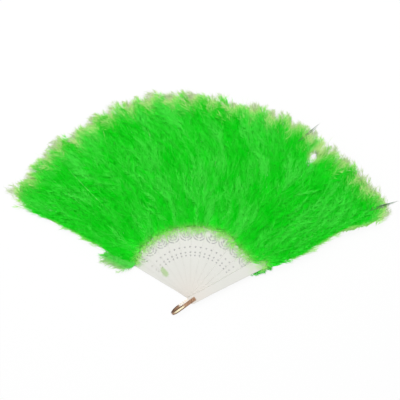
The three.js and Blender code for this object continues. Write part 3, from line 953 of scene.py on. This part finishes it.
def stray_shafts(rng, place, degrees, reach, lean_degrees):
    """A few stiff shafts close together that end near one point"""
    lean = np.full(SHAFTS, math.radians(lean_degrees))
    long = rng.uniform(*SHAFT_LENGTH, SHAFTS)
    ends = reach - SHAFT_STEP * np.linspace(0, 1, SHAFTS) ** SHAFT_POWER
    radius = ends - long * np.cos(lean)
    angle = np.radians(rng.normal(degrees, SHAFT_SPREAD, SHAFTS)) - long * np.sin(lean) / radius
    rise = SHAFT_RISE * place["crown"]
    low = np.full(SHAFTS, place["seat"] + rise)
    return strand_paths(radius, angle, lean, long, low, low + rise, 0.0, np.zeros(SHAFTS))


def quill_strands(rng, place):
    """The stem of each plume, thin and a little bent"""
    radius = np.array([place["start"] + QUILL["start"]])
    reach = np.array([place["reach"] - place["start"] - QUILL["shorter"]])
    bend = np.radians(rng.normal(0, QUILL["bend"], 1))
    low = np.array([place["seat"] + QUILL["root"]])
    high = np.array([place["seat"] + place["crown"] * rng.uniform(*QUILL["tip"])])
    return strand_paths(radius, np.array([place["middle"]]), bend, reach, low, high, QUILL["curl"], bend)


def pale_ends(paths):
    """Paleness and dullness of a tuft, which grow with the distance from the fan's side"""
    radius, angle = to_polar(paths)
    left, right = fan_sides(radius)
    outside = np.maximum(angle - left, right - angle) * radius
    growing = np.clip((outside - TUFT["pale_start"]) / TUFT["pale_width"], 0, TUFT["pale_most"])
    dull_start, dull_growth = TUFT["dull"]
    return growing, dull_start + dull_growth * growing


def pale_at(rng, paths, place):
    """How pale and how dull each ring is: paler at the plume's edge and foot, at the fan's sides and in the
    streak. The green reaches further out in the middle of the plume than at its sides."""
    radius, angle = to_polar(paths)
    across = np.clip((angle - place["middle"]) / place["half"], -1.05, 1.05)
    left, right = fan_sides(radius)
    to_side = np.minimum(left - angle, angle - right) * radius
    rim = np.clip(RIM_PALE[0] - to_side / RIM_WIDTH, 0, RIM_PALE[1])
    rim *= np.clip((radius - RIM_START) / RIM_GROWTH, 0, 1)
    start = place["reach"] - PALE_EDGE - PALE_SIDES * across**2
    start += rng.normal(0, PALE_RAGGED, len(paths))[:, None]
    outer = np.clip((radius - start) / PALE_WIDTH, 0, 1) ** PALE_POWER
    inner = np.clip((foot(place) + PALE_FOOT - radius) / FOOT_WIDTH, 0, 1) * FOOT_SHARE
    from_notch = paths[..., :2] - NOTCH
    outward = NOTCH / np.linalg.norm(NOTCH)
    along = np.clip(from_notch @ outward, 0, STREAK_LENGTH)
    aside = np.linalg.norm(from_notch - along[..., None] * outward, axis=-1)
    streak = np.clip(STREAK_PALE[0] - aside / STREAK_WIDTH, 0, STREAK_PALE[1])
    dull = np.clip((radius - outer_edge(place, across) + DULL_WIDTH) / DULL_WIDTH, 0, DULL_MOST)
    return np.maximum.reduce([outer, inner, streak, rim]), dull


def strand_groups(rng, name, place, look):
    """A plume's strands with their dye, by kind"""
    a_degree = look.front_barbs if place["facing"] == FRONT else look.back_barbs
    barbs = int(a_degree * math.degrees(place["left"] - place["right"]))
    counts = {kind: int(barbs * each) for kind, each in COUNTS[place["facing"]].items()}
    lines, dye, far = barb_lines(rng, place, barbs, look)
    groups = {
        "barbules": barbules(rng, lines, dye, far, look, look.barbule_length),
        "barbs": (lines, dye),
        "cover": loose_strands(rng, place, counts["cover"], look, COVER),
        "strays": loose_strands(rng, place, counts["strays"], look, STRAYS),
    }
    if counts["fluff"]:
        groups["fluff"] = fluff_strands(rng, place, counts["fluff"])
    if name in TUFTS:
        tuft = side_tuft(place, **TUFTS[name])
        dye = np.clip(rng.normal(*TUFT["dye"], len(tuft)), 0, 1)
        far = np.full(len(tuft), place["reach"])
        groups["tuft"] = barbules(rng, tuft, dye, far, look, look.barbule_length * TUFT["barbule"])
    if name in STRAY_SHAFTS:
        groups["shafts"] = (stray_shafts(rng, place, *STRAY_SHAFTS[name]), np.zeros(SHAFTS))
    return groups


def set_down(paths, place, radius):
    """Turns a back plume's strands over, and keeps all strands off the floor"""
    if place["facing"] == BACK:
        paths[..., 2] = place["high"] - paths[..., 2]
    paths[..., 2] = np.maximum(paths[..., 2], radius)


def build_plume(name, index, place, look, materials):
    """One plume's mesh: its strands of each kind round the gap, and its quill"""
    rng = np.random.default_rng(PLUME_SEED + SEED_STEP * index + sum(ord(letter) for letter in name))
    rows = []
    for kind, (paths, dye) in strand_groups(rng, name, place, look).items():
        nearest = np.linalg.norm(paths[..., :2] - NOTCH, axis=-1).min(axis=1)
        kept = nearest > NOTCH_RADIUS * rng.uniform(*NOTCH_RAGGED, len(paths))
        paths, dye = paths[kept], dye[kept]
        set_down(paths, place, look.barb_radius)
        radii = look.barb_radius * THICKNESS[kind] * rng.uniform(*OWN_THICKNESS, len(paths))
        pale, dull = pale_ends(paths) if kind == "tuft" else pale_at(rng, paths, place)
        pale = np.maximum(pale, FLUFF_PALE if kind == "fluff" else 0.0)
        slot = SHAFT_SLOT if kind == "shafts" else DOWN_SLOT
        rows.append((paths, radii, slot, np.broadcast_to(dye[:, None], pale.shape), pale, dull))
    stem = quill_strands(rng, place)
    set_down(stem, place, look.quill_radius)
    rows.append((stem, np.array([look.quill_radius]), QUILL_SLOT, *[np.full(stem.shape[:2], 0.5)] * 3))
    parts = []
    total = 0
    for paths, radii, slot, *values in rows:
        corners, faces = strand_solids(paths, radii, place["facing"])
        parts.append((corners, faces + total, np.full(len(faces), slot), *map(at_corners, values)))
        total += len(corners)
    corners, faces, slots, *values = (np.concatenate(column) for column in zip(*parts))
    values = dict(zip(("tint", "pale", "dull"), values))
    return mesh_piece(name.replace("plume", "down"), corners, faces, values, slots, materials)


def grow_plumes(context, sides):
    """Grows the plumes of one side of the fan."""
    look = context.scene.fan_plumes
    materials = plume_materials(look)
    for index, side in ((index, side) for index in range(len(STICKS)) for side in sides):
        name = f"{STICKS[index]}_{side}_plume"
        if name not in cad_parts:
            continue
        place = plume_place(name)
        piece = build_plume(name, index, place, look, materials)
        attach(piece, f"{STICKS[index]}_body")
        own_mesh(piece)
        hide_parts(name)
    return {"FINISHED"}


def deselect_all():
    """Leaves nothing selected for the next operator, and no piece in edit mode"""
    if bpy.context.object and bpy.context.object.mode != "OBJECT":
        bpy.ops.object.mode_set(mode="OBJECT")
    bpy.ops.object.select_all(action="DESELECT")


def lay_stretch(index, look, cloth):
    """One stretch of ribbon in place of its solid. It rises from the stick at its left to its own."""
    name = f"ribbon_link_{index}"
    corners = node_corners(name)
    centre = (corners.min(axis=0) + corners.max(axis=0)) / 2
    angle = math.atan2(centre[1], centre[0]) - math.pi / 2
    turned = corners @ np.array(Matrix.Rotation(angle, 3, "Z"))
    low, high = turned.min(axis=0), turned.max(axis=0)
    size, middle = high - low, (low + high) / 2
    deselect_all()
    bpy.ops.mesh.primitive_grid_add(
        x_subdivisions=look.columns, y_subdivisions=RIBBON_ROWS, size=1.0, location=(0, 0, 0)
    )
    piece = bpy.context.object
    piece.name = f"ribbon_{index}"
    for vertex in piece.data.vertices:
        along = min(1.0, max(0.0, (vertex.co.x + RIBBON_SLOPE / 2) / RIBBON_SLOPE))
        ease = along * along * (3 - 2 * along)
        vertex.co.z = low[2] + look.thickness / 2 + (size[2] - look.thickness) * ease
    bpy.ops.object.mode_set(mode="EDIT")
    bpy.ops.mesh.select_all(action="SELECT")
    bpy.ops.transform.resize(value=(size[0], size[1], 1.0), center_override=(0, 0, 0))
    bpy.ops.transform.translate(value=(middle[0], middle[1], 0))
    bpy.ops.transform.rotate(value=-angle, orient_axis="Z", center_override=(0, 0, 0))
    bpy.ops.object.mode_set(mode="OBJECT")
    solid = piece.modifiers.new("Thickness", "SOLIDIFY")
    solid.thickness = look.thickness
    solid.offset = 0.0
    bpy.ops.object.modifier_apply(modifier=solid.name)
    rounded = round_edges(piece, look.thickness * RIBBON_ROUND, RIBBON_EDGE)
    bpy.ops.object.modifier_apply(modifier=rounded.name)
    bpy.ops.object.shade_smooth_by_angle(angle=math.radians(RIBBON_SMOOTH))
    piece.data.materials.append(cloth)
    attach(piece, f"{STICKS[index]}_body")
    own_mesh(piece)
    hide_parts(name)


class FAN_OT_sticks(bpy.types.Operator):
    """Finishes the pierced sticks and the two plain guards"""

    bl_idname = "fan.finish_sticks"
    bl_label = "Finish the sticks"

    def execute(self, context):
        look = context.scene.fan_sticks
        plastic = plastic_material(look)
        for name in STICKS:
            dress_node(name, plastic, look.edge_round)
        return {"FINISHED"}


class FAN_OT_brass(bpy.types.Operator):
    """Finishes the rivet and the bail"""

    bl_idname = "fan.finish_brass"
    bl_label = "Finish the rivet and the bail"

    def execute(self, context):
        look = context.scene.fan_brass
        brass = brass_material(look)
        for name in ("rivet", "bail"):
            dress_node(name, brass, look.edge_round)
        return {"FINISHED"}


class FAN_OT_ribbon(bpy.types.Operator):
    """Lays the ribbon over the ribs, one stretch from each stick to the next"""

    bl_idname = "fan.lay_ribbon"
    bl_label = "Lay the ribbon"

    def execute(self, context):
        look = context.scene.fan_ribbon
        cloth = ribbon_material(look)
        for index in range(1, len(STICKS)):
            lay_stretch(index, look, cloth)
        return {"FINISHED"}


class FAN_OT_front_plumes(bpy.types.Operator):
    """Grows the marabou plumes on the fronts of the sticks"""

    bl_idname = "fan.grow_front_plumes"
    bl_label = "Grow the front plumes"

    def execute(self, context):
        return grow_plumes(context, ("left", "right", "front"))


class FAN_OT_back_plumes(bpy.types.Operator):
    """Grows the marabou plumes on the backs of the sticks"""

    bl_idname = "fan.grow_back_plumes"
    bl_label = "Grow the back plumes"

    def execute(self, context):
        return grow_plumes(context, ("back",))


class FAN_OT_stage(bpy.types.Operator):
    """Sets the pale floor, the soft light and the camera"""

    bl_idname = "fan.set_stage"
    bl_label = "Set the stage"

    def execute(self, context):
        scene = context.scene
        look = scene.fan_stage
        deselect_all()
        bpy.ops.mesh.primitive_plane_add(size=FLOOR_SIZE, location=(0.0, 0.0, 0.0))
        floor = context.object
        floor.name = "studio_floor"
        floor.data.materials.append(floor_material(look))
        set_world(scene, look)
        bpy.ops.object.light_add(type="AREA", location=LAMP_PLACE)
        lamp = context.object
        lamp.name = "soft_lamp"
        lamp.data.energy = look.lamp_power
        lamp.data.shape = "SQUARE"
        lamp.data.size = LAMP_SIZE
        lamp.rotation_euler = (Vector(LAMP_AIM) - lamp.location).to_track_quat("-Z", "Y").to_euler()
        bpy.ops.object.camera_add(
            location=(*CAMERA_PLACE, look.camera_height), rotation=(0.0, 0.0, look.camera_turn)
        )
        camera = context.object
        camera.name = "photo_camera"
        camera.data.sensor_width = SENSOR_WIDTH
        camera.data.lens = LENS
        camera.data.clip_start = NEAR_CLIP
        scene.camera = camera
        scene.view_settings.view_transform = "Standard"
        return {"FINISHED"}


class FAN_PT_panel(bpy.types.Panel):
    """Lists the steps that dress the fan"""

    bl_idname = "FAN_PT_panel"
    bl_label = "Feather Fan"
    bl_space_type = "VIEW_3D"
    bl_region_type = "UI"
    bl_category = "Feather Fan"

    def draw(self, context):
        layout = self.layout
        for operator, group in STEPS:
            layout.operator(operator)
            if group:
                settings = getattr(context.scene, group)
                for key in settings.__annotations__:
                    layout.prop(settings, key)


GROUPS = {
    "fan_sticks": FAN_PG_sticks,
    "fan_brass": FAN_PG_brass,
    "fan_ribbon": FAN_PG_ribbon,
    "fan_plumes": FAN_PG_plumes,
    "fan_stage": FAN_PG_stage,
}
STEPS = (
    ("fan.finish_sticks", "fan_sticks"),
    ("fan.finish_brass", "fan_brass"),
    ("fan.lay_ribbon", "fan_ribbon"),
    ("fan.grow_front_plumes", "fan_plumes"),
    ("fan.grow_back_plumes", None),
    ("fan.set_stage", "fan_stage"),
)
CLASSES = (
    *GROUPS.values(),
    FAN_OT_sticks,
    FAN_OT_brass,
    FAN_OT_ribbon,
    FAN_OT_front_plumes,
    FAN_OT_back_plumes,
    FAN_OT_stage,
    FAN_PT_panel,
)


def register():
    for each in CLASSES:
        bpy.utils.register_class(each)
    for key, group in GROUPS.items():
        setattr(bpy.types.Scene, key, PointerProperty(type=group))


def unregister():
    for key in GROUPS:
        delattr(bpy.types.Scene, key)
    for each in reversed(CLASSES):
        bpy.utils.unregister_class(each)


def main():
    register()
    for operator, _ in STEPS:
        family, step = operator.split(".")
        getattr(getattr(bpy.ops, family), step)()
    bpy.context.view_layer.update()


if __name__ == "__main__":
    main()
